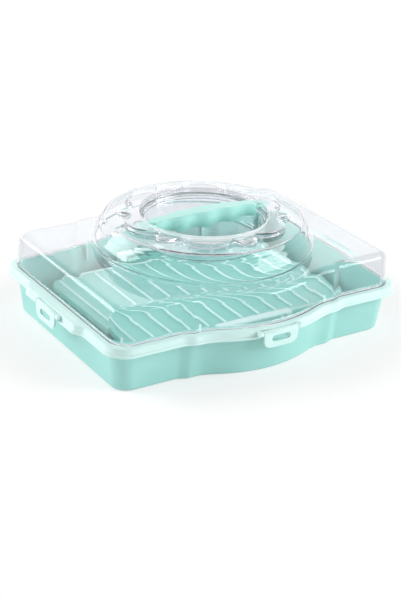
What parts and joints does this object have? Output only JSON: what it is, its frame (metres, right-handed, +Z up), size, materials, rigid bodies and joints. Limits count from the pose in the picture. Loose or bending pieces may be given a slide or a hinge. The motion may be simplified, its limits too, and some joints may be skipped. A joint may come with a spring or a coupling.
{
  "type": "cake carrier with hinged lid",
  "caption": "Rectangular cake carrier with lobed tray, ribbed serving plate, clear domed lid hinged at the back, flap latches and a bar handle in a scalloped hand well.",
  "frame": {"origin": "centre of the tray's underside, on the surface it stands on", "axes": "+Z up, +X along the carrier's length, front latch towards -Y, lid hinge towards +Y"},
  "size_m": [0.4626, 0.3838, 0.157],
  "materials": {
    "mint_plastic": "satin moulded polypropylene",
    "plate_plastic": "satin moulded polypropylene",
    "grip_plastic": "satin moulded polypropylene",
    "rim_plastic": "milky translucent polypropylene over mint",
    "clear_plastic": "clear moulded styrene acrylonitrile",
    "handle_plastic": "satin moulded polypropylene",
    "pin_steel": "drawn wire"
  },
  "bodies": {
    "base": {"tray": "mint_plastic", "hinge_pin": "pin_steel"},
    "insert": {"plate": "plate_plastic", "grip_front": "grip_plastic", "grip_back": "grip_plastic"},
    "lid": {"lid_rim": "rim_plastic", "lid_walls": "clear_plastic", "lid_shelf": "clear_plastic", "lid_dome": "clear_plastic", "hand_well": "clear_plastic", "crown_ring": "clear_plastic", "handle": "handle_plastic", "latch_pin_front": "pin_steel", "latch_pin_left": "pin_steel", "latch_pin_right": "pin_steel"},
    "front_flap": {"latch_front": "rim_plastic"},
    "left_flap": {"latch_left": "rim_plastic"},
    "right_flap": {"latch_right": "rim_plastic"}
  },
  "joints": [
    {"name": "lid_hinge", "type": "hinge", "parent": "base", "child": "lid", "pos_m": [0, 0.191, 0.06], "axis": [-1, 0, 0], "range_deg": [0, 105]},
    {"name": "plate_lift", "type": "slide", "parent": "base", "child": "insert", "axis": [0, 0, 1], "range_m": [0, 0.045]},
    {"name": "front_latch", "type": "hinge", "parent": "lid", "child": "front_flap", "pos_m": [0, -0.1847, 0.0615], "axis": [-1, 0, 0], "range_deg": [0, 110]},
    {"name": "left_latch", "type": "hinge", "parent": "lid", "child": "left_flap", "pos_m": [-0.2277, 0, 0.0615], "axis": [0, 1, 0], "range_deg": [0, 110]},
    {"name": "right_latch", "type": "hinge", "parent": "lid", "child": "right_flap", "pos_m": [0.2277, 0, 0.0615], "axis": [0, -1, 0], "range_deg": [0, 110]}
  ]
}
